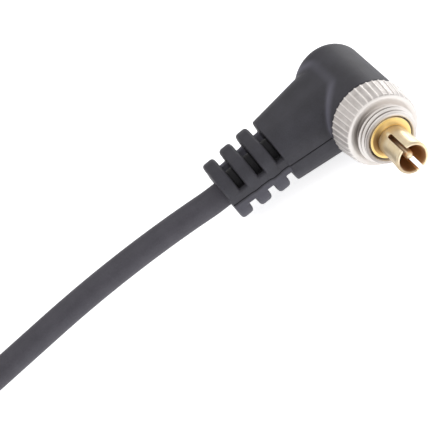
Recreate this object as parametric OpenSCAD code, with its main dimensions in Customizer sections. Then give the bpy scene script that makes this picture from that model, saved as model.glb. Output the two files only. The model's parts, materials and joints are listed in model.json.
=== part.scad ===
// Right-angle coaxial sync plug with a screw-lock collar and a moulded cord, in millimetres.
// Origin: on the plug axis, at the front face of the gilt flange.
// +X runs along the plug towards its tip, the cord leaves towards -Y, and z = 0 is the mirror plane.

/* [Contacts] */
// Outside diameter of the split outer contact
contact_d = 3.5; // [3.4:0.05:3.6]
// Length of the outer contact in front of the flange
contact_l = 5.08; // [4.6:0.02:5.4]
// Wall of the outer contact
contact_wall = 0.3; // [0.2:0.05:0.4]
// Width of the two slots in the outer contact
slot_w = 0.55; // [0.3:0.05:0.8]
// Turn of the slots about the plug axis
slot_turn = 8; // [0:1:30]
// Diameter of the centre pin
pin_d = 1.0; // [0.8:0.05:1.1]
// Distance from the flange face to the centre pin's tip
pin_l = 4.5; // [4:0.1:5]
// Diameter of the gilt flange
flange_d = 4.96; // [4.8:0.02:5.1]

/* [Lock collar] */
// Diameter of the knurled band at its back edge
band_d = 9.6; // [9.2:0.1:10]
// Diameter of the knurled band at its front edge
band_front_d = 8.9; // [8.6:0.1:9.1]
// Number of knurl teeth
teeth = 40; // [30:1:48]
// Depth of a knurl groove
tooth_depth = 0.15; // [0.1:0.05:0.3]
// Outside diameter of the screw thread
thread_d = 7.0; // [6.8:0.1:7.2]
// Forward travel of the collar
travel = 0.9; // [0.3:0.1:0.9]

/* [Moulded head] */
// Diameter of the round head
head_d = 9.1; // [8.8:0.1:9.4]
// Distance from the flange face back to the head's front face
head_front = 5.2; // [5.2:0.05:5.3]
// Distance from the flange face back to the rounded end
head_back = 17.1; // [16.5:0.1:17.6]
// Edge radius of the rounded end
back_r = 2.2; // [1:0.1:2.8]
// Distance from the flange face back to the cord's axis
arm_back = 11.4; // [11:0.1:11.7]
// Distance from the plug axis to the arm's flat end
arm_l = 10.2; // [9.6:0.1:11]

/* [Strain relief] */
// Number of ribs
ribs = 3; // [2:1:3]
// Rib thickness along the cord
rib_t = 1.65; // [1.4:0.05:1.7]
// Gap between ribs
rib_gap = 0.9; // [0.7:0.05:1.1]
// Thickness of the two side webs that join the ribs
web_t = 0.6; // [0.4:0.1:1]

/* [Cord] */
// Outside diameter of the cord
cord_d = 3.1; // [2.9:0.1:3.3]
// Angle of the tight bend where the cord leaves the strain relief
exit_turn = 8.3; // [6:0.1:10]
// Radius of the long sweep that follows
sweep_r = 96; // [80:1:120]
// Swing of each cord bend to either side
bend_swing = 12; // [4:1:12]

/* [Hidden] */
$fn = 64;
contact_r = contact_d / 2;
pin_r = pin_d / 2;
xa = -arm_back;
head_r = head_d / 2;
spigot_r = 2.03;
spigot_end = -7.0;
bush_r = 1.2;
shank_r = 1.55;
pin_shank_r = 0.3;
groove_r = 1.55;
groove_front = -2.85 + travel;
collar_bore_r = spigot_r + 0.05;
mouth_r = flange_d / 2 + 0.2;
seat_x = -0.8;
bush_front = 0.4;
hub_l = 0.45;
slot_root = 1.55;
hub_r = 2.12;
collar_back = -5.1;
collar_front = 0.15;
band_front = -1.8;
jacket_r = cord_d / 2;
shield_r = 1.15;
insulation_r = 0.75;
conductor_r = 0.4;
layer_r = [jacket_r, shield_r, insulation_r, conductor_r, 0];
pitch = rib_t + rib_gap;
relief_end = -(arm_l + ribs * pitch + 0.05);
exit_r = 19;
exit_x = xa - exit_r * (1 - cos(exit_turn));
exit_y = relief_end - exit_r * sin(exit_turn);
sweep_cx = exit_x + sweep_r * cos(exit_turn);
sweep_cy = exit_y - sweep_r * sin(exit_turn);
joint_s = [6, 14, 22];
end_run = 14;
ball_r = jacket_r - 0.03;
ball_gap = 0.02;
bend_extra = 0.01;
layer_gap = 0.005;
set_back = jacket_r * sin(bend_swing) + 0.08;

// Heading of the sweep, measured from -Y towards -X, at arc length s
function heading(s) = exit_turn - s / sweep_r * 180 / PI;

// Point of the sweep at arc length s
function sweep_point(s) = [
    sweep_cx - sweep_r * cos(heading(s)),
    sweep_cy + sweep_r * sin(heading(s)),
    0
];

// A cylinder along +X between two stations
module rod_x(x0, x1, r) {
    translate([x0, 0, 0])
        rotate([0, 90, 0])
            cylinder(h = x1 - x0, r = r);
}

// A cone along +X between two stations
module cone_x(x0, x1, r0, r1) {
    translate([x0, 0, 0])
        rotate([0, 90, 0])
            cylinder(h = x1 - x0, r1 = r0, r2 = r1);
}

// A cylinder along Y on the cord's axis between two stations
module rod_y(y0, y1, r) {
    translate([xa, y1, 0])
        rotate([90, 0, 0])
            cylinder(h = y1 - y0, r = r);
}

// A profile of [x, radius] points turned about the plug axis
module turned(points) {
    rotate([0, 90, 0])
        rotate_extrude()
            polygon([for (p = points) [p[1], p[0]]]);
}

// A rectangle with round corners, given by half sizes
module round_rect(hx, hz, r) {
    square([2 * hx, 2 * (hz - r)], center = true);
    square([2 * (hx - r), 2 * hz], center = true);
    for (sx = [-1, 1])
        for (sz = [-1, 1])
            translate([sx * (hx - r), sz * (hz - r)])
                circle(r = r, $fn = 48);
}

// A round-cornered slab across the cord, from y1 back to y0
module slab_y(y0, y1, hx, hz, r) {
    translate([xa, y1, 0])
        rotate([90, 0, 0])
            linear_extrude(height = y1 - y0)
                round_rect(hx, hz, r);
}

// Outer shape of the ivory premould that locks the solder joints
module premould_shape() {
    rod_x(-14.6, -5.4, 3.7);
    rod_y(-8, 0, 2.7);
}

// Round head with its rounded end
module head_shape() {
    x0 = -head_back;
    arc = [for (i = [0:8]) let (a = i * 90 / 8)
        [x0 + back_r - back_r * cos(a), head_r - back_r + back_r * sin(a)]];
    front = [[-head_front - 0.15, head_r], [-head_front, head_r - 0.15], [-head_front, 0]];
    turned(concat([[x0, 0]], arc, front));
}

// Tapered arm from the head to the flat end
module arm_shape() {
    hull() {
        translate([xa, -arm_l + 0.02, 0])
            rotate([90, 0, 0])
                linear_extrude(height = 0.02)
                    round_rect(3.95, 3.67, 2.8);
        translate([xa, -0.48, 0])
            rotate([90, 0, 0])
                linear_extrude(height = 0.02)
                    round_rect(5.35, 4.4, 3.6);
    }
}

// Ribs, side webs and core of the strain relief
module relief_shape() {
    translate([xa, -arm_l + 0.2, 0])
        rotate([90, 0, 0])
            cylinder(h = -arm_l + 0.2 - relief_end, r1 = 1.9, r2 = 1.72);
    for (i = [0:ribs - 1]) {
        y1 = -arm_l - rib_gap - i * pitch;
        slab_y(y1 - rib_t, y1, 3.75 - 0.3 * i, 3.6, 2.4);
    }
    for (side = [-1, 1])
        translate([xa, 0, 0])
            linear_extrude(height = 1.7, center = true)
                polygon([
                    [side * (3.7 - web_t), -arm_l + 0.2],
                    [side * 3.7, -arm_l + 0.2],
                    [side * 3.65, -arm_l - rib_gap],
                    [side * 3.05, relief_end + 0.05],
                    [side * (3.05 - web_t), relief_end + 0.05],
                    [side * (3.65 - web_t), -arm_l - rib_gap]
                ]);
}

module overmould() {
    color([0.26, 0.26, 0.29])
        difference() {
            union() {
                head_shape();
                arm_shape();
                relief_shape();
            }
            premould_shape();
            rod_x(-5.5, -head_front + 0.1, spigot_r);
            rod_y(relief_end - 0.5, -7.9, jacket_r);
        }
}

// Solid outlines of everything the premould is shot around
module premould_contents() {
    rod_x(-6.6, -5.3, 3.0);
    rod_x(-7.6, -5.3, bush_r);
    rod_x(spigot_end, -6.5, spigot_r);
    lug_shape();
    rod_x(-8, -7.5, pin_shank_r);
    rod_x(-9.6, -8, 0.75);
    cone_x(-10, -9.6, 0.5, 0.75);
    rod_y(-4, -1.15, conductor_r);
    conductor_bend();
    rod_y(-8.1, -7.2, jacket_r);
    rod_y(-7.3, -4.2, shield_r);
    rod_y(-4.3, -3, insulation_r);
    rod_y(-6.6, -4.6, 1.5);
    pigtail_shape();
    ground_blob();
}

module inner_premould() {
    color([0.93, 0.9, 0.8])
        difference() {
            premould_shape();
            premould_contents();
        }
}

// Gilt turned body: hub, flange, spigot with a wide groove, and an anchoring collar
module contact_body() {
    color([0.93, 0.8, 0.5])
        difference() {
            turned([
                [spigot_end, 0], [spigot_end, spigot_r], [-6.6, spigot_r], [-6.6, 3.0], [-5.4, 3.0],
                [-5.4, spigot_r], [-3.45, spigot_r], [-3.45, groove_r], [groove_front, groove_r],
                [groove_front, spigot_r],
                [-0.6, spigot_r], [-0.6, flange_d / 2], [-0.05, flange_d / 2], [0, flange_d / 2 - 0.05],
                [0, hub_r + 0.12], [0.12, hub_r], [hub_l - 0.06, hub_r], [hub_l, hub_r - 0.06], [hub_l, 0]
            ]);
            rod_x(spigot_end - 1, seat_x + 0.1, bush_r);
            rod_x(seat_x, hub_l + 1, shank_r);
        }
}

// Split contact, turned from a seam that lies well clear of both slots
module outer_contact_sleeve() {
    bore_r = contact_r - contact_wall;
    color([0.95, 0.83, 0.55])
        difference() {
            rotate([60, 0, 0])
                turned([
                    [seat_x, bush_r], [seat_x, shank_r], [hub_l, shank_r], [hub_l, contact_r],
                    [contact_l - 0.3, contact_r],
                    [contact_l - 0.1, contact_r - 0.05], [contact_l, contact_r - 0.13],
                    [contact_l - 0.02, bore_r + 0.06], [contact_l - 0.12, bore_r],
                    [hub_l + 0.45, bore_r], [hub_l, bush_r]
                ]);
            rotate([slot_turn, 0, 0])
                translate([slot_root + slot_w / 2, -slot_w / 2, -3])
                    cube([contact_l, slot_w, 6]);
            rotate([slot_turn, 0, 0])
                translate([slot_root + slot_w / 2, 0, -3])
                    cylinder(h = 6, r = slot_w / 2);
        }
}

module insulator_bush() {
    color([0.3, 0.18, 0.1])
        difference() {
            rod_x(-7.6, bush_front, bush_r);
            rod_x(-8, 1, pin_shank_r);
        }
}

module centre_pin() {
    color([0.9, 0.76, 0.42])
        difference() {
            union() {
                rod_x(-8, bush_front + 0.1, pin_shank_r);
                rod_x(bush_front, pin_l - pin_r, pin_r);
                translate([pin_l - pin_r, 0, 0])
                    sphere(r = pin_r);
                rod_x(-9.6, -8, 0.75);
            }
            rod_x(-10, -8.4, 0.5);
        }
}

// Washer with a solder tab
module lug_shape() {
    rod_x(spigot_end, -6.6, 2.9);
    translate([spigot_end, -3.45, -0.6])
        cube([0.4, 1.2, 1.2]);
}

module ground_lug() {
    color([0.78, 0.78, 0.74])
        difference() {
            lug_shape();
            rod_x(spigot_end - 1, -6, spigot_r);
        }
}

// Twisted shield tail from the braid to the lug; its bend is a hair thicker than its straight ends
module pigtail_shape() {
    wire_r = 0.16;
    wire_x = xa + 0.97;
    bend_r = 0.8;
    translate([wire_x, -2.97 - bend_r, 0])
        rotate([90, 0, 0])
            cylinder(h = 1.23 - bend_r, r = wire_r, $fn = 32);
    translate([wire_x + bend_r, -3 - bend_r, 0])
        rotate([0, 0, 90])
            rotate_extrude(angle = 90)
                translate([bend_r, 0])
                    circle(r = wire_r + bend_extra, $fn = 32);
    translate([wire_x + bend_r - 0.03, -3, 0])
        rotate([0, 90, 0])
            cylinder(h = spigot_end - wire_x - bend_r + 0.03, r = wire_r, $fn = 32);
}

module shield_pigtail() {
    color([0.8, 0.62, 0.5])
        pigtail_shape();
}

// Solder cone on the lug's tab
module ground_blob() {
    translate([spigot_end - 0.5, -3, 0])
        rotate([0, 90, 0])
            cylinder(h = 0.5, r1 = 0.22, r2 = 0.38, $fn = 48);
}

module ground_solder_joint() {
    color([0.72, 0.72, 0.74])
        difference() {
            ground_blob();
            pigtail_shape();
        }
}

// Bend of the inner conductor and its straight end in the pin's solder cup
module conductor_bend() {
    bend_r = 1.2;
    translate([xa + bend_r, -bend_r, 0])
        rotate([0, 0, 90])
            rotate_extrude(angle = 90)
                translate([bend_r, 0])
                    circle(r = conductor_r + bend_extra);
    rod_x(xa + bend_r - 0.05, -8.5, conductor_r);
}

module pin_solder_joint() {
    color([0.74, 0.74, 0.76])
        difference() {
            union() {
                rod_x(-9.6, -8.5, 0.5);
                cone_x(-10, -9.6, 0.5, 0.75);
            }
            conductor_bend();
        }
}

module crimp_ferrule() {
    color([0.7, 0.68, 0.6])
        difference() {
            rod_y(-6.6, -4.6, 1.5);
            rod_y(-7, -4, shield_r);
        }
}

// Open spring ring that holds the collar on the spigot
module snap_ring() {
    color([0.5, 0.52, 0.55])
        difference() {
            rod_x(-3.35, -2.95, 2.45);
            rod_x(-4, -2, groove_r + 0.07);
            translate([-4, -0.5, 1])
                cube([2, 1, 3]);
        }
}

module lock_ring() {
    band_r = band_d / 2;
    front_r = band_front_d / 2;
    color([0.8, 0.78, 0.75])
        difference() {
            turned([
                [collar_back, collar_bore_r], [collar_back, band_r - 0.2], [collar_back + 0.2, band_r],
                [band_front - 0.25, front_r], [band_front, front_r - 0.35], [band_front + 0.08, 2.97],
                [-1.0, 2.97], [-0.85, thread_d / 2], [collar_front - 0.2, thread_d / 2],
                [collar_front, thread_d / 2 - 0.2], [collar_front, mouth_r],
                [-1.6, mouth_r], [-1.6, collar_bore_r],
                [-2.9, collar_bore_r], [-2.9, 2.5], [-3.4, 2.5], [-3.4, collar_bore_r]
            ]);
            for (i = [0:teeth - 1])
                rotate([i * 360 / teeth, 0, 0])
                    knurl_groove();
        }
}

// V groove that follows the slope of the band
module knurl_groove() {
    slope = atan2(band_d / 2 - band_front_d / 2, band_front - 0.25 - collar_back - 0.2);
    translate([collar_back + 0.2, 0, band_d / 2 - tooth_depth])
        rotate([0, slope, 0])
            translate([-1, 0, 0])
                rotate([90, 0, 90])
                    linear_extrude(height = 6)
                        polygon([[0, 0], [1, 0.6], [-1, 0.6]]);
}

// Straight stub of a cord layer that runs back through a bend point
module back_stub(s, length, r) {
    translate(sweep_point(s))
        rotate([0, 0, -heading(s)])
            rotate([-90, 0, 0])
                translate([0, 0, -0.1])
                    cylinder(h = length + 0.1, r = r, $fn = 48);
}

// Arc of the long sweep between two arc lengths
module sweep_arc(s0, s1, r) {
    translate([sweep_cx, sweep_cy, 0])
        rotate([0, 0, 180 - heading(s0)])
            rotate_extrude(angle = heading(s0) - heading(s1), $fn = 360)
                translate([sweep_r, 0])
                    circle(r = r, $fn = 48);
}

// Round end of a cord layer, centred on a bend point and a hair thinner than the layer
module ball_end(s, layer) {
    if (layer == 0)
        translate(sweep_point(s))
            sphere(r = ball_r);
    if (layer > 0)
        intersection() {
            translate(sweep_point(s))
                sphere(r = ball_r);
            back_stub(s, jacket_r + 1, layer_r[layer] - 0.02);
        }
}

// Hollow that a parent segment leaves for the next segment's round end
module ball_cup(s) {
    translate(sweep_point(s))
        sphere(r = ball_r + ball_gap);
}

// Run of moving segment i from its bend point: two arcs, then a straight end
module segment_run(i, r) {
    s0 = joint_s[i - 1];
    if (i < 3)
        sweep_arc(s0, joint_s[i] - set_back, r);
    if (i == 3)
        translate(sweep_point(s0))
            rotate([0, 0, -heading(s0)])
                rotate([90, 0, 0])
                    cylinder(h = end_run, r = r);
}

// Bore through moving segment i, for the layer inside it
module segment_bore(i, r) {
    s0 = joint_s[i - 1];
    if (i < 3)
        sweep_arc(s0 - 0.05, joint_s[i] + 0.5, r);
    if (i == 3)
        translate(sweep_point(s0))
            rotate([0, 0, -heading(s0)])
                rotate([90, 0, 0])
                    translate([0, 0, -0.05])
                        cylinder(h = end_run + 1, r = r);
    back_stub(s0, jacket_r + 1, r + 0.02);
}

// One layer of moving segment i: a hollow round section with its ball end
module segment_layer(i, layer) {
    difference() {
        union() {
            segment_run(i, layer_r[layer]);
            ball_end(joint_s[i - 1], layer);
        }
        if (layer < 3)
            segment_bore(i, layer_r[layer + 1] + layer_gap);
        if (i < 3)
            ball_cup(joint_s[i]);
    }
}

// Straight part, exit bend and first stretch of the sweep; the bend is a hair thicker
module root_solid(y_end, s_end, r) {
    rod_y(relief_end - 0.1, y_end, r);
    translate([xa - exit_r, relief_end, 0])
        rotate([0, 0, -exit_turn])
            rotate_extrude(angle = exit_turn, $fn = 360)
                translate([exit_r, 0])
                    circle(r = r + bend_extra, $fn = 48);
    sweep_arc(-0.1, s_end, r);
}

// One layer of the fixed stretch of cord
module root_layer(y_end, layer) {
    difference() {
        root_solid(y_end, joint_s[0] - set_back, layer_r[layer]);
        if (layer < 3)
            root_solid(y_end + 0.5, joint_s[0] + 0.5, layer_r[layer + 1] + layer_gap);
        ball_cup(joint_s[0]);
    }
}

module cable_jacket_root() {
    color([0.27, 0.27, 0.3])
        root_layer(-7.2, 0);
}

module cable_shield_root() {
    color([0.78, 0.5, 0.36])
        root_layer(-4.2, 1);
}

module cable_insulation_root() {
    color([0.92, 0.92, 0.9])
        root_layer(-3, 2);
}

module cable_conductor_root() {
    color([0.82, 0.52, 0.36]) {
        root_layer(-1.15, 3);
        conductor_bend();
    }
}

module cable_segment_layer(i, layer) {
    paint = [[0.27, 0.27, 0.3], [0.78, 0.5, 0.36], [0.92, 0.92, 0.9], [0.82, 0.52, 0.36]];
    color(paint[layer])
        segment_layer(i, layer);
}

overmould();
inner_premould();
contact_body();
outer_contact_sleeve();
insulator_bush();
centre_pin();
ground_lug();
shield_pigtail();
pin_solder_joint();
ground_solder_joint();
crimp_ferrule();
snap_ring();
lock_ring();
cable_jacket_root();
cable_shield_root();
cable_insulation_root();
cable_conductor_root();
cable_segment_layer(1, 0);  // cable_jacket_1
cable_segment_layer(1, 1);  // cable_shield_1
cable_segment_layer(1, 2);  // cable_insulation_1
cable_segment_layer(1, 3);  // cable_conductor_1
cable_segment_layer(2, 0);  // cable_jacket_2
cable_segment_layer(2, 1);  // cable_shield_2
cable_segment_layer(2, 2);  // cable_insulation_2
cable_segment_layer(2, 3);  // cable_conductor_2
cable_segment_layer(3, 0);  // cable_jacket_3
cable_segment_layer(3, 1);  // cable_shield_3
cable_segment_layer(3, 2);  // cable_insulation_3
cable_segment_layer(3, 3);  // cable_conductor_3
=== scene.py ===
import json
import math

import bmesh
import bpy
import numpy as np
from mathutils import Matrix, Vector

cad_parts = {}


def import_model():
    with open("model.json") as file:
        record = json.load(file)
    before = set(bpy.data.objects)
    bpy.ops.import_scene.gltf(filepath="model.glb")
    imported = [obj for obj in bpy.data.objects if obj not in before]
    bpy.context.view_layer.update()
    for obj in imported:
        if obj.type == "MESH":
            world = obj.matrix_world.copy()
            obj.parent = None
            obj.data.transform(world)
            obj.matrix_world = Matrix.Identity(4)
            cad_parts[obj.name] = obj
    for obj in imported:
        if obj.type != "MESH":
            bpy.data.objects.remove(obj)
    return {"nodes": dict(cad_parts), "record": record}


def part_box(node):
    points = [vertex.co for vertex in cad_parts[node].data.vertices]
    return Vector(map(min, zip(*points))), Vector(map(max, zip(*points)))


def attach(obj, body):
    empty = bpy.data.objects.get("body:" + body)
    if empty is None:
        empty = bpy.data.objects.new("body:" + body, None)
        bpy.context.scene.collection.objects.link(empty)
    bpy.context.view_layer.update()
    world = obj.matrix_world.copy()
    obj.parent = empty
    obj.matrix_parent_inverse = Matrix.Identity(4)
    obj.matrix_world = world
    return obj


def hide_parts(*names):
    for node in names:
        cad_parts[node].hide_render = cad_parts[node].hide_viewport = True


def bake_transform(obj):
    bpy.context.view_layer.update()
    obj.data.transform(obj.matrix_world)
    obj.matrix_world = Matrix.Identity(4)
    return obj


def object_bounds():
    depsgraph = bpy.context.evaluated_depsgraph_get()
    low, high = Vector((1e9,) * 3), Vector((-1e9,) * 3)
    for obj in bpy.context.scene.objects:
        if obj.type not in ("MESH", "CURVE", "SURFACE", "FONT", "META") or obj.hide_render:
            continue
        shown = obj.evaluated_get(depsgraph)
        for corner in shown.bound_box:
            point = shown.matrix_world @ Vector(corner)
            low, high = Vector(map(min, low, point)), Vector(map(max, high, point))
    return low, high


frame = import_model()
cad_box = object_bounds()
joints = {j["name"]: j for j in frame["record"]["behaviour"]["joints"]}
MM = 0.001
TAU = 2 * math.pi


def cad(node):
    """Lowest and highest corner of a CAD node, in millimetres."""
    lo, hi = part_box(node)
    return [c / MM for c in lo], [c / MM for c in hi]


# ---------------------------------------------------------------- stations, in millimetres
mould_lo, mould_hi = cad("overmould")
ring_lo, ring_hi = cad("lock_ring")
sleeve_lo, sleeve_hi = cad("outer_contact_sleeve")
PIN_TIP = cad("centre_pin")[1][0]
HUB_FRONT = cad("contact_body")[1][0]
HEAD_R = mould_hi[2]
HEAD_BACK, HEAD_FRONT = mould_lo[0], mould_hi[0]
RELIEF_END = mould_lo[1]
BAND_R = ring_hi[2]
RING_BACK, RING_FRONT = ring_lo[0], ring_hi[0]
SLEEVE_R = sleeve_hi[1]
TIP = sleeve_hi[0]
CORD_R = 1.55
CORD_X = cad("cable_jacket_root")[1][0] - CORD_R
# The arm along the cord, the ribs behind it, and the half height of the webs that join them
ARM_TOP, ARM_END = -0.48, -10.2
RIBS, RIB_T, RIB_GAP, RIB_LIFT = 3, 1.65, 0.9, 0.13
RIB_PITCH = RIB_T + RIB_GAP
WEB_HIGH = 1.1
# Ridges of the knurl; the thread's back end, crest radius there, pitch and taper
TEETH = 40
THREAD_X, THREAD_R, THREAD_PITCH, THREAD_TAPER = -0.98, 3.5, 0.5, 0.38
# Half width and round end of the sleeve's slot, and how far it is turned from upright
SLOT_HALF, SLOT_ROOT, SLOT_TURN = 0.275, 1.55, math.radians(8)
# Outer and inner radius of each layer of the cord
LAYERS = [("jacket", CORD_R, 1.15), ("shield", 1.15, 0.75),
          ("insulation", 0.75, 0.4), ("conductor", 0.4, 0.0)]


# ---------------------------------------------------------------- node materials
def graph(name):
    mat = bpy.data.materials.new(name)
    mat.use_nodes = True
    tree = mat.node_tree
    bsdf = next(n for n in tree.nodes if n.type == "BSDF_PRINCIPLED")
    return mat, tree, bsdf


def add(tree, kind, inputs=None, **props):
    node = tree.nodes.new(kind)
    for key, value in props.items():
        setattr(node, key, value)
    for key, value in (inputs or {}).items():
        socket = node.inputs[key]
        if isinstance(value, bpy.types.NodeSocket):
            tree.links.new(value, socket)
        else:
            socket.default_value = value
    return node


def object_coords(tree, scale):
    coords = add(tree, "ShaderNodeTexCoord")
    mapping = add(tree, "ShaderNodeMapping", {"Vector": coords.outputs["Object"]})
    mapping.inputs["Scale"].default_value = scale
    return mapping.outputs["Vector"]


def turned_coords(tree, along, across):
    """Coordinates that only change with x and with distance from the plug axis, as tool marks do."""
    coords = add(tree, "ShaderNodeTexCoord")
    split = add(tree, "ShaderNodeSeparateXYZ", {0: coords.outputs["Object"]})
    flat = add(tree, "ShaderNodeCombineXYZ", {"Y": split.outputs["Y"], "Z": split.outputs["Z"]})
    radius = add(tree, "ShaderNodeVectorMath", {0: flat.outputs[0]}, operation="LENGTH")
    a = add(tree, "ShaderNodeMath", {0: split.outputs["X"], 1: along}, operation="MULTIPLY")
    r = add(tree, "ShaderNodeMath", {0: radius.outputs["Value"], 1: across}, operation="MULTIPLY")
    return add(tree, "ShaderNodeCombineXYZ", {"X": a.outputs[0], "Y": r.outputs[0]}).outputs[0]


def noise(tree, vector, scale=1.0, detail=2.0, rough=0.5):
    return add(tree, "ShaderNodeTexNoise",
               {"Vector": vector, "Scale": scale, "Detail": detail, "Roughness": rough}).outputs["Fac"]


def ramp(tree, fac, stops):
    node = add(tree, "ShaderNodeValToRGB", {"Fac": fac})
    while len(node.color_ramp.elements) < len(stops):
        node.color_ramp.elements.new(0.5)
    for element, (pos, colour) in zip(node.color_ramp.elements, stops):
        element.position = pos
        element.color = (*colour, 1)
    return node.outputs["Color"]


def span(tree, fac, lo, hi, from_lo=0.3, from_hi=0.7):
    return add(tree, "ShaderNodeMapRange", {"Value": fac, "From Min": from_lo, "From Max": from_hi,
                                            "To Min": lo, "To Max": hi}).outputs["Result"]


def bump(tree, bsdf, height, distance, strength=1.0, below=None):
    inputs = {"Height": height, "Distance": distance, "Strength": strength}
    if below is not None:
        inputs["Normal"] = below
    node = add(tree, "ShaderNodeBump", inputs)
    tree.links.new(node.outputs["Normal"], bsdf.inputs["Normal"])
    return node.outputs["Normal"]


def tinted(tree, colour, tints):
    """Mixes a tint over the colour wherever the mesh attribute of that name says so."""
    for name, tint in (tints or {}).items():
        mark = add(tree, "ShaderNodeAttribute", attribute_name=name)
        colour = add(tree, "ShaderNodeMix", {0: mark.outputs["Fac"], 6: colour, 7: (*tint, 1)},
                     data_type="RGBA").outputs[2]
    return colour


def plastic(name, dark, light, rough, grain, grain_height, spec=0.4, tints=None):
    """Moulded plastic: mottled colour, fine grain and a slow waviness."""
    mat, tree, bsdf = graph(name)
    fine = noise(tree, object_coords(tree, (grain, grain, grain)), 1.0, 3.0, 0.6)
    slow = noise(tree, object_coords(tree, (420, 420, 420)), 1.0, 3.0, 0.5)
    mixed = add(tree, "ShaderNodeMath", {0: fine, 1: slow}, operation="ADD")
    half = add(tree, "ShaderNodeMath", {0: mixed.outputs[0], 1: 0.5}, operation="MULTIPLY")
    colour = tinted(tree, ramp(tree, half.outputs[0], [(0.38, dark), (0.64, light)]), tints)
    tree.links.new(colour, bsdf.inputs["Base Color"])
    tree.links.new(span(tree, fine, rough - 0.06, rough + 0.08), bsdf.inputs["Roughness"])
    bsdf.inputs["Specular IOR Level"].default_value = spec
    under = bump(tree, bsdf, slow, 3e-5, 0.5)
    bump(tree, bsdf, fine, grain_height, 0.8, under)
    return mat


def turned_metal(name, dark, light, rough, lines, height, smudge=900, tints=None, metallic=1.0):
    """Plated turned metal: tool rings, faint smudges and slightly uneven plate."""
    mat, tree, bsdf = graph(name)
    rings = noise(tree, turned_coords(tree, lines, lines), 1.0, 2.0, 0.5)
    cloud = noise(tree, object_coords(tree, (smudge, smudge, smudge)), 1.0, 4.0, 0.6)
    colour = tinted(tree, ramp(tree, cloud, [(0.3, dark), (0.62, light)]), tints)
    tree.links.new(colour, bsdf.inputs["Base Color"])
    both = add(tree, "ShaderNodeMath", {0: rings, 1: cloud}, operation="MULTIPLY")
    gloss = span(tree, both.outputs[0], rough - 0.05, rough + 0.09, 0.12, 0.42)
    tree.links.new(gloss, bsdf.inputs["Roughness"])
    bsdf.inputs["Metallic"].default_value = metallic
    bump(tree, bsdf, rings, height, 0.6)
    return mat


def rough_metal(name, dark, light, rough, grain, height):
    mat, tree, bsdf = graph(name)
    cloud = noise(tree, object_coords(tree, (grain, grain, grain)), 1.0, 4.0, 0.6)
    tree.links.new(ramp(tree, cloud, [(0.3, dark), (0.7, light)]), bsdf.inputs["Base Color"])
    tree.links.new(span(tree, cloud, rough, rough + 0.15), bsdf.inputs["Roughness"])
    bsdf.inputs["Metallic"].default_value = 1.0
    bump(tree, bsdf, cloud, height, 0.5)
    return mat


# The darkest tint is painted shade for the pockets and groove; the paler tint is painted light on the band,
# webs and lower strain relief.
MOULD = plastic("mould_charcoal", (0.038, 0.037, 0.044), (0.056, 0.055, 0.066), 0.58, 8000, 9e-6, 0.32,
                tints={"painted_pocket_shade": (0.019, 0.019, 0.022), "seam": (0.125, 0.122, 0.150)})
CORD = plastic("cord_charcoal", (0.056, 0.053, 0.065), (0.078, 0.074, 0.088), 0.5, 6500, 5e-6, 0.35)
IVORY = plastic("premould_ivory", (0.66, 0.6, 0.45), (0.8, 0.75, 0.6), 0.45, 5000, 5e-6)
BROWN = plastic("bush_brown", (0.028, 0.010, 0.004), (0.07, 0.026, 0.010), 0.38, 6000, 4e-6)
WHITE = plastic("core_white", (0.72, 0.72, 0.68), (0.84, 0.84, 0.81), 0.4, 6000, 4e-6)
# Its tints are painted: a highlight on the knurl crests and face, and brown shade in the corner, valleys and
# annulus.
NICKEL = turned_metal("nickel_plate", (0.54, 0.505, 0.48), (0.67, 0.635, 0.61), 0.42, 9000, 1.4e-6,
                      metallic=0.5,
                      tints={"painted_highlight": (0.95, 0.91, 0.87), "painted_brown_shade": (0.10, 0.07, 0.052)})
# Gilt tints: a painted reflection as richer yellow, painted brown shade in hollows, and painted dark shade.
GILT = turned_metal("gilt_plate", (0.91, 0.75, 0.47), (0.98, 0.86, 0.63), 0.40, 8000, 1.2e-6,
                    metallic=0.82,
                    tints={"painted_reflection": (0.98, 0.69, 0.21), "painted_brown_shade": (0.80, 0.42, 0.17),
                           "shaded": (0.20, 0.10, 0.032)})
SPRING = turned_metal("spring_steel", (0.16, 0.16, 0.17), (0.28, 0.28, 0.3), 0.35, 7000, 2e-6)
TIN = rough_metal("dull_tin", (0.5, 0.5, 0.5), (0.68, 0.68, 0.69), 0.3, 3500, 6e-6)
COPPER = rough_metal("bare_copper", (0.62, 0.27, 0.15), (0.86, 0.45, 0.29), 0.26, 4500, 5e-6)


# ---------------------------------------------------------------- mesh helpers, in millimetres
def make(name, verts, faces, mat, sharp=35):
    mesh = bpy.data.meshes.new(name)
    mesh.from_pydata([tuple(v) for v in verts], [], faces)
    bm = bmesh.new()
    bm.from_mesh(mesh)
    bmesh.ops.recalc_face_normals(bm, faces=bm.faces)
    bm.to_mesh(mesh)
    bm.free()
    obj = bpy.data.objects.new(name, mesh)
    bpy.context.scene.collection.objects.link(obj)
    mesh.materials.append(mat)
    shade(obj, sharp)
    return obj


def shade(obj, sharp):
    obj.data.polygons.foreach_set("use_smooth", [True] * len(obj.data.polygons))
    if sharp:
        obj.data.set_sharp_from_angle(angle=math.radians(sharp))


def bake(obj):
    """Applies the object's modifiers to its mesh."""
    graph_now = bpy.context.evaluated_depsgraph_get()
    mesh = bpy.data.meshes.new_from_object(obj.evaluated_get(graph_now))
    obj.modifiers.clear()
    old = obj.data
    obj.data = mesh
    bpy.data.meshes.remove(old)
    return obj


def points(obj):
    co = np.empty(len(obj.data.vertices) * 3)
    obj.data.vertices.foreach_get("co", co)
    return co.reshape(-1, 3)


def mark(obj, name, values, domain="POINT"):
    """Stores a 0 to 1 value per vertex or per face under a name that the materials read."""
    layer = obj.data.attributes.new(name, "FLOAT", domain)
    layer.data.foreach_set("value", np.clip(values, 0, 1).astype(np.float32))


def place(obj, body, slot, *nodes):
    """Scales a finished piece to metres, lets it stand for its CAD nodes and puts it on its body."""
    obj.data.transform(Matrix.Scale(MM, 4))
    if nodes:
        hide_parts(*nodes)
    if body:
        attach(obj, body)
    return obj


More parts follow.
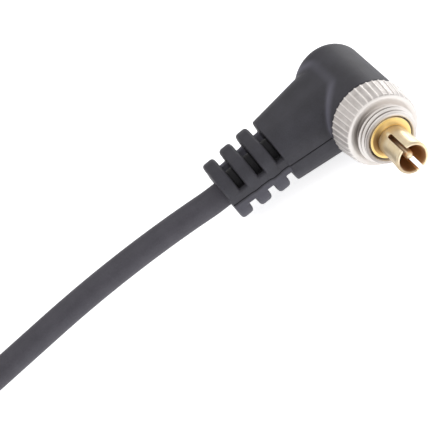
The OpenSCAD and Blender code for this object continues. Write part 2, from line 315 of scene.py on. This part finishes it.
def looped(total, count):
    """Faces that join rings of count vertices in order, and the last ring back to the first."""
    faces = []
    for i in range(total):
        j = (i + 1) % total
        for k in range(count):
            m = (k + 1) % count
            faces.append((i * count + k, i * count + m, j * count + m, j * count + k))
    return faces


def ringed(stations, count, radius=None):
    """Vertices and faces of a solid turned about X; radius, if given, varies r round the turn."""
    verts = []
    for i, (x, r) in enumerate(stations):
        for k in range(count):
            a = TAU * k / count
            rr = radius(i, x, r, a) if radius else r
            verts.append((x, rr * math.cos(a), rr * math.sin(a)))
    return verts, looped(len(stations), count)


def capped(rings):
    """Vertices and faces of a loft through rings of equal length, closed at both ends."""
    verts = [v for ring in rings for v in ring]
    n = len(rings[0])
    faces = [tuple(range(n)), tuple((len(rings) - 1) * n + k for k in reversed(range(n)))]
    for i in range(len(rings) - 1):
        for k in range(n):
            m = (k + 1) % n
            faces.append((i * n + k, (i + 1) * n + k, (i + 1) * n + m, i * n + m))
    return verts, faces


def round_rect(hx, hz, r, steps=10):
    """Outline of a rectangle with round corners, given by half sizes."""
    outline = []
    for quarter, (sx, sz) in enumerate([(1, 1), (-1, 1), (-1, -1), (1, -1)]):
        for k in range(steps + 1):
            a = (quarter + k / steps) * math.pi / 2
            outline.append((sx * (hx - r) + r * math.cos(a), sz * (hz - r) + r * math.sin(a)))
    return outline


def across_cord(y, hx, hz, r):
    return [(CORD_X + x, y, z) for x, z in round_rect(hx, hz, r)]


def join_parts(name, parts, mat):
    verts, faces = [], []
    for v, f in parts:
        base = len(verts)
        verts += v
        faces += [tuple(base + i for i in face) for face in f]
    return make(name, verts, faces, mat, 0)


# ---------------------------------------------------------------- moulded head, arm and strain relief
def head_part():
    """Round head; the fillet of its closed end is tighter on the side away from the cord."""
    front, count = 0.18, 128
    edges = [2.15 - 0.4 * math.cos(TAU * k / count) for k in range(count)]

    def ring(station):
        out = []
        for k in range(count):
            x, r = station(edges[k])
            out.append((x, r * math.cos(TAU * k / count), r * math.sin(TAU * k / count)))
        return out

    rings = [ring(lambda e: (HEAD_BACK, 0.02))]
    for i in range(17):
        a = math.pi / 2 * i / 16
        rings.append(ring(lambda e: (HEAD_BACK + e - e * math.cos(a), HEAD_R - e + e * math.sin(a))))
    for i in range(9):
        a = math.pi / 2 * i / 8
        x, r = HEAD_FRONT - front + front * math.sin(a), HEAD_R - front + front * math.cos(a)
        rings.append(ring(lambda e: (x, r)))
    rings.append(ring(lambda e: (HEAD_FRONT, 0.02)))
    return capped(rings)


def arm_size(y):
    """Half width, half height and corner radius of the arm at y."""
    t = (y - ARM_END) / (ARM_TOP - ARM_END)
    return 3.95 + 1.4 * t, 3.67 + 0.73 * t, 2.8 + 0.8 * t


def arm_part():
    """Tapered arm from the head to its flat end, whose lip is slightly rounded."""
    steps, edge = 24, 0.1
    levels = [ARM_END + (ARM_TOP - ARM_END) * i / steps for i in range(steps + 1)]
    rings = [across_cord(y, *arm_size(y)) for y in levels]
    lip = across_cord(ARM_END, *(v - edge for v in arm_size(ARM_END)))
    rings[0] = [(x, y + edge, z) for x, y, z in rings[0]]
    return capped([lip] + rings)


def rib_part(index):
    """One rib with rounded edges; the ribs grow narrower towards the cord."""
    y_top = ARM_END - RIB_GAP - index * RIB_PITCH
    hx, hz, r, edge = 3.75 - 0.3 * index, 3.6, 2.4, 0.42
    rings = []
    for i in range(7):
        a = math.pi / 2 * i / 6
        inset = edge * (1 - math.sin(a))
        rings.append(across_cord(y_top - edge * (1 - math.cos(a)), hx - inset, hz - inset, r - inset))
    for i in range(7):
        a = math.pi / 2 * i / 6
        inset = edge * (1 - math.cos(a))
        rings.append(across_cord(y_top - RIB_T + edge * (1 - math.sin(a)), hx - inset, hz - inset, r - inset))
    verts, faces = capped(rings)
    return [(x, y, z + RIB_LIFT) for x, y, z in verts], faces


def web_part(side):
    """Side web of the strain relief, with a drafted inner wall that runs down to the core."""
    high, edge = WEB_HIGH, 0.12
    rings = []
    stations = [(ARM_END + 0.3, 3.72), (ARM_END - 0.9, 3.66), (RELIEF_END + 0.12, 3.1), (RELIEF_END, 2.98)]
    for y, outer in stations:
        x0, x1, x2 = (CORD_X + side * v for v in (1.5, outer - 0.6, outer))
        rings.append([(x0, y, -0.15), (x1, y, -high), (x2 - side * edge, y, -high), (x2, y, -high + edge),
                      (x2, y, high - edge), (x2 - side * edge, y, high), (x1, y, high), (x0, y, 0.15)])
    return capped(rings)


def core_part():
    rings = []
    turns = [TAU * k / 64 for k in range(64)]
    for y, r in ((ARM_END + 0.3, 1.9), (RELIEF_END + 0.12, 1.76), (RELIEF_END, 1.66)):
        rings.append([(CORD_X + r * math.cos(a), y, r * math.sin(a)) for a in turns])
    return capped(rings)


def mould():
    parts = [head_part(), arm_part(), core_part(), web_part(1), web_part(-1)]
    parts += [rib_part(i) for i in range(RIBS)]
    obj = join_parts("mould_head", parts, MOULD)
    remesh = obj.modifiers.new("remesh", "REMESH")
    remesh.mode = "VOXEL"
    remesh.voxel_size = 0.085
    remesh.use_smooth_shade = True
    soften = obj.modifiers.new("soften", "SMOOTH")
    soften.factor = 0.5
    soften.iterations = 5
    bake(obj)
    near = np.clip((0.7 - seam_distance(points(obj))) / 0.4, 0, 1)
    group = obj.vertex_groups.new(name="fillet")
    for i in np.nonzero(near > 0.02)[0]:
        group.add([int(i)], float(near[i]), "REPLACE")
    fillet = obj.modifiers.new("fillet", "SMOOTH")
    fillet.factor = 0.5
    fillet.iterations = 24
    fillet.vertex_group = "fillet"
    bake(obj)
    part_line(obj)
    mould_marks(obj)
    return obj


def seam_distance(co):
    """Distance of each point from the line where the arm meets the head, measured on the unrolled head."""
    line = []
    for x in np.linspace(CORD_X - 5.3, CORD_X + 5.3, 107):
        for y in np.linspace(-0.6, -HEAD_R + 0.02, 160):
            hx, hz, r = arm_size(y)
            over = max(0.0, abs(x - CORD_X) - (hx - r))
            if over >= r:
                continue
            if hz - r + math.sqrt(r * r - over * over) > math.sqrt(HEAD_R**2 - y * y):
                line.append((x, math.acos(-y / HEAD_R) * HEAD_R))
                break
    line = np.array(line)
    out = np.full(len(co), 9.0)
    r = np.hypot(co[:, 1], co[:, 2])
    close = np.nonzero((np.abs(r - HEAD_R) < 0.8) & (co[:, 1] < 0.3) & (co[:, 0] < HEAD_FRONT - 0.1))[0]
    flat = np.column_stack([co[close, 0], np.arccos(np.clip(-co[close, 1] / r[close], -1, 1)) * HEAD_R])
    for start in range(0, len(close), 4000):
        part = slice(start, start + 4000)
        gap = np.linalg.norm(flat[part, None, :] - line[None, :, :], axis=2).min(axis=1)
        out[close[part]] = np.hypot(gap, np.abs(r[close[part]] - HEAD_R) * 0.7)
    return out


def part_line(obj):
    """Cuts the mould's parting groove at z = 0 and leaves the lower half a hair inside the upper one."""
    top, bottom, step = 0.07, -0.15, -0.28
    bm = bmesh.new()
    bm.from_mesh(obj.data)
    for z in (step, bottom, bottom + 0.03, top - 0.03, top):
        bmesh.ops.bisect_plane(bm, geom=bm.verts[:] + bm.edges[:] + bm.faces[:], dist=1e-5,
                               plane_co=(0, 0, z), plane_no=(0, 0, 1))
    bm.normal_update()
    moves = []
    for v in bm.verts:
        if v.co.x > HEAD_FRONT - 0.02 or abs(v.normal.z) > 0.8:
            continue
        flat = Vector((v.normal.x, v.normal.y, 0))
        if flat.length < 0.3:
            continue
        flat.normalize()
        depth = 0.0
        if bottom + 0.02 <= v.co.z <= top - 0.02:
            depth = 0.20
        elif v.co.z < bottom + 0.02:
            depth = 0.07 * max(0.0, 1 - (bottom - v.co.z) / 1.2)
        if depth:
            moves.append((v, flat * depth))
    for v, d in moves:
        v.co -= d
    bm.to_mesh(obj.data)
    bm.free()
    shade(obj, 0)


def mould_marks(obj):
    """Marks painted shade in the pockets and groove, and painted light on the band, webs and lower half of
    the strain relief.
    """
    co = points(obj)
    across, y = np.hypot(co[:, 0] - CORD_X, co[:, 2]), co[:, 1]
    # Painted shade: dark along the parting groove and deep in the pockets between the ribs.
    dark = 0.92 * ((co[:, 2] > -0.14) & (co[:, 2] < 0.06) & (co[:, 0] < HEAD_FRONT - 0.1))
    for i in range(RIBS):
        y1 = ARM_END - i * RIB_PITCH
        inside = (y < y1 + 0.05) & (y > y1 - RIB_GAP - 0.05)
        dark[inside] = np.maximum(dark[inside], (2.45 - 0.1 * i - across[inside]) / 0.2)
    mark(obj, "painted_pocket_shade", dark)
    hx, hz, r = arm_size(y)
    qx, qz = np.abs(co[:, 0] - CORD_X) - (hx - r), np.abs(co[:, 2]) - (hz - r)
    outside = np.hypot(np.maximum(qx, 0), np.maximum(qz, 0)) - r
    # Painted highlight: a paler band on the head along the fillet where the arm meets it.
    band = np.clip((1.8 - seam_distance(co)) / 1.3, 0, 1)
    band = band * band * (3 - 2 * band) * np.clip(outside / 0.3, 0, 1)
    # Painted light: the webs between the ribs are paled where they lie in shade.
    height = np.abs(co[:, 2])
    webs = (y < ARM_END - 0.02) & (y > RELIEF_END + 0.1) & (height > 0.2) & (height < WEB_HIGH + 0.1)
    webs &= (co[:, 0] < CORD_X) & (co[:, 0] > CORD_X - 3.9) & (across > 2.2) & (dark < 0.05)
    for i in range(RIBS):
        y1 = ARM_END - RIB_GAP - i * RIB_PITCH
        webs &= ~((y < y1) & (y > y1 - RIB_T))
    # Painted light from below on the lower half of the strain relief.
    low = 0.45 * (y < ARM_END + 0.02) * np.clip((-0.25 - co[:, 2]) / 0.2, 0, 1) * (dark < 0.05)
    mark(obj, "seam", np.maximum(np.maximum(band, webs), low))


place(mould(), "plug_head", "overmould", "overmould")


# ---------------------------------------------------------------- lock collar
def collar():
    """Knurled band with a dished front, then the threaded neck and its rim."""
    band_back, band_front = RING_BACK, RING_BACK + 3.3
    front_r = BAND_R - 0.35
    stations, tooth, screw = [], [], []

    def put(x, r, t=0.0, s=0.0):
        stations.append((x, r))
        tooth.append(t)
        screw.append(s)

    put(band_back, 2.08)
    put(band_back, 3.4)
    put(band_back, BAND_R - 0.42, 0.25)
    put(band_back + 0.03, BAND_R - 0.24, 0.7)
    put(band_back + 0.10, BAND_R - 0.10, 0.95)
    put(band_back + 0.22, BAND_R, 1.0)
    for i in range(1, 9):
        t = i / 8
        put(band_back + 0.22 + 2.53 * t, BAND_R - 0.31 * t, 1.0)
    put(band_front - 0.42, front_r - 0.01, 0.85)
    put(band_front - 0.30, front_r - 0.04, 0.5)
    put(band_front - 0.19, front_r - 0.10, 0.2)
    put(band_front - 0.10, front_r - 0.19, 0.06)
    put(band_front - 0.04, front_r - 0.32)
    put(band_front - 0.02, front_r - 0.5)
    for i in range(1, 6):
        t = i / 5
        dish = 0.30 * (1 - math.cos(t * math.pi / 2))
        put(band_front - 0.02 - dish, front_r - 0.5 - (front_r - 0.5 - 3.15) * t)
    put(band_front - 0.30, 3.05)
    put(band_front - 0.22, 2.97)
    put(-1.16, 2.97)
    put(-1.08, 3.0)
    put(-1.02, 3.1)
    for i in range(37):
        t = i / 36
        put(THREAD_X + t, THREAD_R - THREAD_TAPER * t, 0.0, min(1.0, i / 3, (36 - i) / 3))
    put(0.06, 3.10)
    put(RING_FRONT - 0.03, 3.06)
    put(RING_FRONT, 2.99)
    put(RING_FRONT, 2.84)
    put(RING_FRONT - 0.03, 2.75)
    put(RING_FRONT - 0.10, 2.69)
    put(-0.4, 2.68)
    put(-1.6, 2.68)
    put(-1.6, 2.08)
    put(-2.9, 2.08)
    put(-2.9, 2.5)
    put(-3.4, 2.5)
    put(-3.4, 2.08)

    def radius(i, x, r, a):
        if tooth[i]:
            t = abs((a * TEETH / TAU) % 1.0 - 0.5)
            ridge = 0.5 + 0.5 * math.cos(math.pi * min(1.0, t / 0.24))
            return r - tooth[i] * 0.09 * (1 - ridge)
        if screw[i]:
            phase = ((x - THREAD_X) / THREAD_PITCH - a / TAU) % 1.0
            wave = min(1.0, 1.2 * (1 - abs(2 * phase - 1)))
            return r - screw[i] * 0.30 * (1 - wave) - 0.05 * (1 - screw[i])
        return r

    verts, faces = ringed(stations, 640, radius)
    obj = make("lock_collar", verts, faces, NICKEL, 42)
    co = points(obj)
    radius_now = np.hypot(co[:, 1], co[:, 2])
    turn = np.arctan2(co[:, 2], co[:, 1])
    # Painted shade, brown: in the corner behind the thread on the left, in the thread's valleys and on the
    # left of the front annulus.
    corner = np.clip((3.7 - radius_now) / 0.55, 0, 1) * (co[:, 0] < -0.97) * (co[:, 0] > band_front - 0.5)
    corner *= 0.72 * np.clip(np.cos(turn - 2.5), 0, 1) ** 2
    annulus = 0.55 * (co[:, 0] > 0.02) * np.clip(np.cos(turn - 2.7), 0, 1)
    crest = THREAD_R - THREAD_TAPER * (co[:, 0] - THREAD_X)
    valley = np.clip((crest - 0.14 - radius_now) / 0.08, 0, 0.85)
    valley *= (np.abs(co[:, 0] + 0.48) < 0.46) * (radius_now > 2.9)
    mark(obj, "painted_brown_shade", np.maximum(np.maximum(corner, valley), annulus))
    # Painted highlight: bright crests on the knurl; elsewhere lighter towards the top, less so at the front
    # rim.
    tooth_turn = np.abs((turn * TEETH / TAU) % 1.0 - 0.5)
    ridges = np.clip(1.25 - tooth_turn / 0.14, 0, 1) * 0.9
    on_band = (radius_now > front_r - 0.2) & (co[:, 0] < band_front - 0.16)
    face = 0.66 + 0.32 * np.cos(turn - 1.4) - 0.25 * (co[:, 0] > -0.02)
    mark(obj, "painted_highlight", np.where(on_band, ridges, face))
    return obj


place(collar(), "lock_ring", "nickel", "lock_ring")


# ---------------------------------------------------------------- gilt contacts
def contact_body():
    hub, flange = HUB_FRONT, 2.48
    profile = [(-7.0, 1.2), (-7.0, 2.03), (-6.6, 2.03), (-6.6, 3.0), (-5.4, 3.0), (-5.4, 2.03),
               (-3.45, 2.03), (-3.45, 1.55), (-1.95, 1.55), (-1.95, 2.03), (-0.6, 2.03),
               (-0.6, flange - 0.04), (-0.56, flange), (-0.05, flange),
               (-0.015, flange - 0.015), (0.0, flange - 0.05)]
    for i in range(17):
        a = math.pi / 2 * i / 16
        profile.append((hub - 0.01 - (hub - 0.01) * math.cos(a), 2.36 - 0.56 * math.sin(a)))
    profile += [(hub, 1.79), (hub, 1.77), (hub - 0.05, 1.755), (hub - 0.05, 1.55), (-0.8, 1.55), (-0.8, 1.2)]
    verts, faces = ringed(profile, 160)
    obj = make("gilt_body", verts, faces, GILT, 38)
    co = points(obj)
    turn, radius_now = np.arctan2(co[:, 2], co[:, 1]), np.hypot(co[:, 1], co[:, 2])
    # Painted shade in the step where the hub meets the flange, darkest on the left; painted reflection as a
    # richer yellow over the flange face and hub.
    step = np.clip((2.38 - radius_now) / 0.25, 0, 1) * (co[:, 0] > 0.01)
    mark(obj, "painted_brown_shade", step * 0.22)
    mark(obj, "painted_reflection", 0.8 * (radius_now < 2.45) * (co[:, 0] > -0.2))
    mark(obj, "shaded", step * 0.95 * np.clip(np.cos(turn - 2.7) * 1.5 - 0.5, 0, 1))
    return obj


def slot_cutter():
    """A long block with a round end, whose cut leaves the sleeve as two leaves."""
    outline = [(TIP + 1, -SLOT_HALF), (TIP + 1, SLOT_HALF)]
    for i in range(13):
        a = math.pi / 2 + math.pi * i / 12
        outline.append((SLOT_ROOT + SLOT_HALF + SLOT_HALF * math.cos(a), SLOT_HALF * math.sin(a)))
    c, s = math.cos(SLOT_TURN), math.sin(SLOT_TURN)
    rings = [[(x, y * c - z * s, y * s + z * c) for x, y in outline] for z in (-3, 3)]
    verts, faces = capped(rings)
    return make("slot_cutter", verts, faces, GILT)


def sleeve():
    """Split outer contact, which flares towards its mouth."""
    back, out, bore = sleeve_lo[0], SLEEVE_R, SLEEVE_R - 0.3
    profile = [(back, 1.2), (back, 1.55), (0.42, 1.55), (0.42, out), (2.0, out + 0.02), (3.2, out + 0.06),
               (4.0, out + 0.11), (4.5, out + 0.15), (4.75, out + 0.17), (4.92, out + 0.15),
               (5.02, out + 0.10), (TIP, out), (TIP - 0.01, bore + 0.19), (5.0, bore + 0.12),
               (4.85, bore + 0.09), (4.0, bore + 0.05), (2.0, bore), (0.9, bore), (0.45, 1.2)]
    verts, faces = ringed(profile, 144)
    obj = make("gilt_sleeve", verts, faces, GILT, 38)
    cutter = slot_cutter()
    cut = obj.modifiers.new("slots", "BOOLEAN")
    cut.operation = "DIFFERENCE"
    cut.solver = "EXACT"
    cut.object = cutter
    bevel = obj.modifiers.new("edges", "BEVEL")
    bevel.width = 0.018
    bevel.segments = 2
    bevel.limit_method = "ANGLE"
    bevel.angle_limit = math.radians(50)
    bake(obj)
    bpy.data.objects.remove(cutter)
    shade(obj, 38)
    co = points(obj)
    # Painted shade: the inside of the sleeve is tinted brown.
    mark(obj, "painted_brown_shade", (SLEEVE_R - 0.12 - np.hypot(co[:, 1], co[:, 2])) / 0.12 * (co[:, 0] < TIP - 0.03))
    # Painted shade on the slot walls, along the lower side and a little on the upper side.
    across = Vector((0, math.cos(SLOT_TURN), math.sin(SLOT_TURN)))
    walls = [abs(f.center.dot(across)) < 0.3 and f.center.x > 1.5 and f.center.yz.length > 1.4
             and (abs(f.normal.dot(across)) > 0.85 or f.normal.x > 0.3) and f.center.x < 4.9
             for f in obj.data.polygons]
    turns = [math.atan2(f.center.z, f.center.y) % TAU for f in obj.data.polygons]
    sides = [0.55 * min(1, max(0, (a - 2.35) / 0.6)) * (a < 4.5) + 0.26 * max(0, 1 - abs(a - 0.95) / 0.8)
             for a in turns]
    mark(obj, "shaded", np.maximum(np.array(walls, dtype=float), sides), "FACE")
    return obj


def pin():
    """Round-nosed pin on a thin shank, with a solder cup at its back."""
    r, tip, count = 0.5, PIN_TIP, 64
    profile = [(-8.4, 0.5), (-9.6, 0.5), (-9.6, 0.72), (-9.57, 0.75), (-8.03, 0.75), (-8.0, 0.72),
               (-8.0, 0.3), (0.4, 0.3), (0.4, 0.47), (0.43, r), (2.0, r), (tip - 0.62, r)]
    for i in range(1, 12):
        a = math.pi / 2 * i / 12
        profile.append((tip - r + r * math.sin(a) ** 1.05, r * math.cos(a)))
    turns = [TAU * k / count for k in range(count)]
    rings = [[(x, q * math.cos(a), q * math.sin(a)) for a in turns] for x, q in profile]
    verts, faces = capped(rings)
    return make("gilt_pin", verts, faces, GILT, 38)


place(contact_body(), "plug_head", "gilt", "contact_body")
place(sleeve(), "plug_head", "gilt", "outer_contact_sleeve")
place(pin(), "plug_head", "gilt", "centre_pin")


# ---------------------------------------------------------------- cord
def cord_path():
    """The sweep's centre, radius and the polar angle of its start, from the three bend joints."""
    p = [Vector(joints[f"cord_bend_{i}"]["pos_m"]).to_2d() / MM for i in (1, 2, 3)]
    (ax, ay), (bx, by), (cx, cy) = p
    d = 2 * (ax * (by - cy) + bx * (cy - ay) + cx * (ay - by))
    ux = ((ax**2 + ay**2) * (by - cy) + (bx**2 + by**2) * (cy - ay) + (cx**2 + cy**2) * (ay - by)) / d
    uy = ((ax**2 + ay**2) * (cx - bx) + (bx**2 + by**2) * (ax - cx) + (cx**2 + cy**2) * (bx - ax)) / d
    centre = Vector((ux, uy))
    radius = (p[0] - centre).length
    start = math.atan2(ay - uy, ax - ux) - 6.0 / radius
    return centre, radius, start


SWEEP_C, SWEEP_R, SWEEP_A = cord_path()
EXIT_TURN = math.pi - SWEEP_A
EXIT_R = 19.0
EXIT_L = EXIT_R * EXIT_TURN
BENDS = (6.0, 14.0, 22.0)
STRAIGHT_S = BENDS[2]
END_S = 36.0


def cord_at(s):
    """Point and heading (angle from -Y towards -X) of the cord's axis at s mm from the start of the sweep."""
    if s > STRAIGHT_S:
        (px, py), h = cord_at(STRAIGHT_S)
        return (px - (s - STRAIGHT_S) * math.sin(h), py - (s - STRAIGHT_S) * math.cos(h)), h
    if s >= 0:
        a = SWEEP_A + s / SWEEP_R
        return (SWEEP_C.x + SWEEP_R * math.cos(a), SWEEP_C.y + SWEEP_R * math.sin(a)), math.pi - a
    if s >= -EXIT_L:
        t = (s + EXIT_L) / EXIT_R
        return (CORD_X - EXIT_R * (1 - math.cos(t)), RELIEF_END - EXIT_R * math.sin(t)), t
    return (CORD_X, RELIEF_END - (s + EXIT_L)), 0.0


def cord_ring(s, r, count, offset=(0.0, 0.0)):
    (px, py), h = cord_at(s)
    n = (math.cos(h), -math.sin(h))
    ring = []
    for k in range(count):
        a = TAU * k / count
        u = offset[0] + r * math.cos(a)
        w = offset[1] + r * math.sin(a)
        ring.append((px + n[0] * u, py + n[1] * u, w))
    return ring


def stations_between(s0, s1, step=0.5):
    count = max(2, round((s1 - s0) / step))
    return [s0 + (s1 - s0) * i / count for i in range(count + 1)]


def tube(name, s0, s1, r, bore, mat):
    """One layer of the cord between two places along its axis."""
    count = 72
    marks = stations_between(s0, s1)
    outer = [cord_ring(s, r, count) for s in marks]
    if not bore:
        verts, faces = capped(outer)
        return make(name, verts, faces, mat, 35)
    rings = outer + [cord_ring(s, bore, count) for s in reversed(marks)]
    verts = [v for ring in rings for v in ring]
    return make(name, verts, looped(len(rings), count), mat, 35)


def strands(name, s0, s1, radius, ring_r, count, lay, mat, centre=False):
    """A lay of round strands twisted about the cord's axis."""
    parts = []
    marks = stations_between(s0, s1, 0.3)
    for k in range(count):
        rings = []
        for s in marks:
            a = TAU * (k / count + (s - s0) / lay)
            rings.append(cord_ring(s, radius, 10, (ring_r * math.cos(a), ring_r * math.sin(a))))
        parts.append(capped(rings))
    if centre:
        parts.append(capped([cord_ring(s, radius, 10) for s in marks]))
    obj = join_parts(name, parts, mat)
    shade(obj, 50)
    return obj


LAYER_LOOK = {"jacket": (CORD, "cord_jacket"), "shield": (COPPER, "copper"),
              "insulation": (WHITE, "core_insulation"), "conductor": (COPPER, "copper")}
FRONT_S = {"jacket": -13.4, "shield": -16.4, "insulation": -17.6, "conductor": -19.4}
SPANS = [("root", None, 2.0, "plug_head", None, None),
         ("flex_1", 2.0, 10.0, "plug_head", "cord_1", BENDS[0]),
         ("flex_2", 10.0, 18.0, "cord_1", "cord_2", BENDS[1]),
         ("flex_3", 18.0, 26.0, "cord_2", "cord_3", BENDS[2]),
         ("end", 26.0, END_S, "cord_3", None, None)]


def point_m(s):
    (x, y), _ = cord_at(s)
    return (x * MM, y * MM, 0.0)


for layer, r, bore in LAYERS:
    look, slot_name = LAYER_LOOK[layer]
    for label, s0, s1, a, b, bend in SPANS:
        if s0 is None:
            if layer == "conductor":
                continue
            s0 = FRONT_S[layer]
        name = f"cord_{layer}_{label}"
        if label == "end" and layer == "conductor":
            obj = strands(name, s0, s1, 0.131, 0.264, 6, 7.0, look, True)
        elif label == "end" and layer == "shield":
            obj = strands(name, s0, s1, 0.096, 0.95, 30, 16.0, look)
        else:
            obj = tube(name, s0, s1, r, bore, look)
        nodes = {"root": [f"cable_{layer}_root"], "flex_1": [f"cable_{layer}_1"],
                 "flex_3": [f"cable_{layer}_2"], "end": [f"cable_{layer}_3"]}.get(label, [])
        place(obj, None if b else a, slot_name, *nodes)
        if b:
            point_m(bend - 3.2)
            point_m(bend + 3.2)
            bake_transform(obj)


def conductor_root():
    """The conductor from the fixed cord, round its bend and into the pin's cup."""
    rings = [cord_ring(s, 0.4, 32) for s in reversed(stations_between(FRONT_S["conductor"] + 0.75, 2.0))]
    for i in range(1, 13):
        a = math.pi / 2 * i / 12
        cx, cy = CORD_X + 1.2, -1.2
        out = (-math.cos(a), math.sin(a))
        ring = []
        for k in range(32):
            q = TAU * k / 32
            u = 1.2 - 0.4 * math.cos(q)
            ring.append((cx + out[0] * u, cy + out[1] * u, 0.4 * math.sin(q)))
        rings.append(ring)
    rings.append([(-8.5, v[1], v[2]) for v in rings[-1]])
    verts, faces = capped(rings)
    return make("cord_conductor_root", verts, faces, COPPER, 35)


place(conductor_root(), "plug_head", "copper", "cable_conductor_root")

# ---------------------------------------------------------------- CAD nodes that keep their own shape
KEPT = {"inner_premould": IVORY, "insulator_bush": BROWN, "ground_lug": TIN, "shield_pigtail": COPPER,
        "pin_solder_joint": TIN, "ground_solder_joint": TIN, "crimp_ferrule": TIN, "snap_ring": SPRING}
for node, mat in KEPT.items():
    obj = frame["nodes"][node]
    if not obj.data.materials:
        obj.data.materials.append(mat)
    for i in range(len(obj.material_slots)):
        obj.material_slots[i].link = "OBJECT"
        obj.material_slots[i].material = mat
    edge = obj.modifiers.new("edges", "BEVEL")
    edge.width = 0.03 * MM
    edge.segments = 2
    edge.limit_method = "ANGLE"
    edge.angle_limit = math.radians(50)


# ---------------------------------------------------------------- floor, light and camera
def floor():
    mesh = bpy.data.meshes.new("floor")
    z = cad_box[0][2] - 0.00002
    half = 1.6
    corners = [(-half, -half, z), (half, -half, z), (half, half, z), (-half, half, z)]
    mesh.from_pydata(corners, [], [(0, 1, 2, 3)])
    obj = bpy.data.objects.new("floor", mesh)
    bpy.context.scene.collection.objects.link(obj)
    mat, tree, bsdf = graph("floor_white")
    cloud = noise(tree, object_coords(tree, (30, 30, 30)), 1.0, 2.0, 0.5)
    pale = ramp(tree, cloud, [(0.3, (0.90, 0.90, 0.90)), (0.7, (0.92, 0.92, 0.92))])
    tree.links.new(pale, bsdf.inputs["Base Color"])
    bsdf.inputs["Roughness"].default_value = 0.8
    bsdf.inputs["Specular IOR Level"].default_value = 0.1
    bsdf.inputs["Emission Color"].default_value = (1, 1, 1, 1)
    bsdf.inputs["Emission Strength"].default_value = 0.72
    mesh.materials.append(mat)


def panel(name, spot, size, power, shine=1.0, aim=(-0.006, -0.008, 0.0)):
    light = bpy.data.lights.new(name, "AREA")
    light.specular_factor = shine
    light.shape = "RECTANGLE"
    light.size, light.size_y = size
    light.energy = power
    obj = bpy.data.objects.new(name, light)
    obj.location = spot
    obj.rotation_euler = (Vector(aim) - Vector(spot)).to_track_quat("-Z", "Y").to_euler()
    bpy.context.scene.collection.objects.link(obj)


def world():
    """A white tent; shiny parts mirror it bright on the far side and dim behind the camera."""
    w = bpy.data.worlds.new("studio")
    bpy.context.scene.world = w
    w.use_nodes = True
    tree = w.node_tree
    background = next(n for n in tree.nodes if n.type == "BACKGROUND")
    coords = add(tree, "ShaderNodeTexCoord")
    side = add(tree, "ShaderNodeVectorMath", {0: coords.outputs["Generated"]}, operation="DOT_PRODUCT")
    side.inputs[1].default_value = Vector((0.38, -0.88, 0.22)).normalized()
    mirrored = ramp(tree, side.outputs["Value"], [(0.0, (0.68, 0.66, 0.64)), (0.3, (0.98, 0.96, 0.94)),
                                                  (0.62, (0.80, 0.76, 0.73)), (0.95, (0.30, 0.26, 0.24))])
    rays = add(tree, "ShaderNodeLightPath")
    mix = add(tree, "ShaderNodeMix",
              {0: rays.outputs["Is Glossy Ray"], 6: (0.68, 0.68, 0.70, 1), 7: mirrored}, data_type="RGBA")
    tree.links.new(mix.outputs[2], background.inputs["Color"])
    background.inputs["Strength"].default_value = 1.0


def camera():
    pitch, turn, roll = math.radians(37.70), math.radians(89.17), math.radians(-38.52)
    back = Vector((math.sin(turn) * math.cos(pitch), -math.cos(turn) * math.cos(pitch), math.sin(pitch)))
    right = Vector((math.cos(turn), math.sin(turn), 0))
    up = back.cross(right)
    right_r = math.cos(roll) * right + math.sin(roll) * up
    up_r = -math.sin(roll) * right + math.cos(roll) * up
    away, left, down = 200, 18.22, 9.378
    spot = (away * back - left * right_r - down * up_r) * MM
    data = bpy.data.cameras.new("camera")
    data.sensor_width = 36
    data.lens = 147.35
    data.clip_start = 0.01
    data.clip_end = 10
    obj = bpy.data.objects.new("camera", data)
    m = Matrix((right_r, up_r, back)).transposed().to_4x4()
    m.translation = spot
    obj.matrix_world = m
    bpy.context.scene.collection.objects.link(obj)
    bpy.context.scene.camera = obj


floor()
world()
panel("key", (-0.50, 0.46, 0.05), (0.3, 0.16), 0.95, 0.4)
panel("top", (-0.05, -0.05, 0.70), (0.7, 0.7), 0.7, 0.35)
camera()
bpy.context.scene.view_settings.view_transform = "Standard"
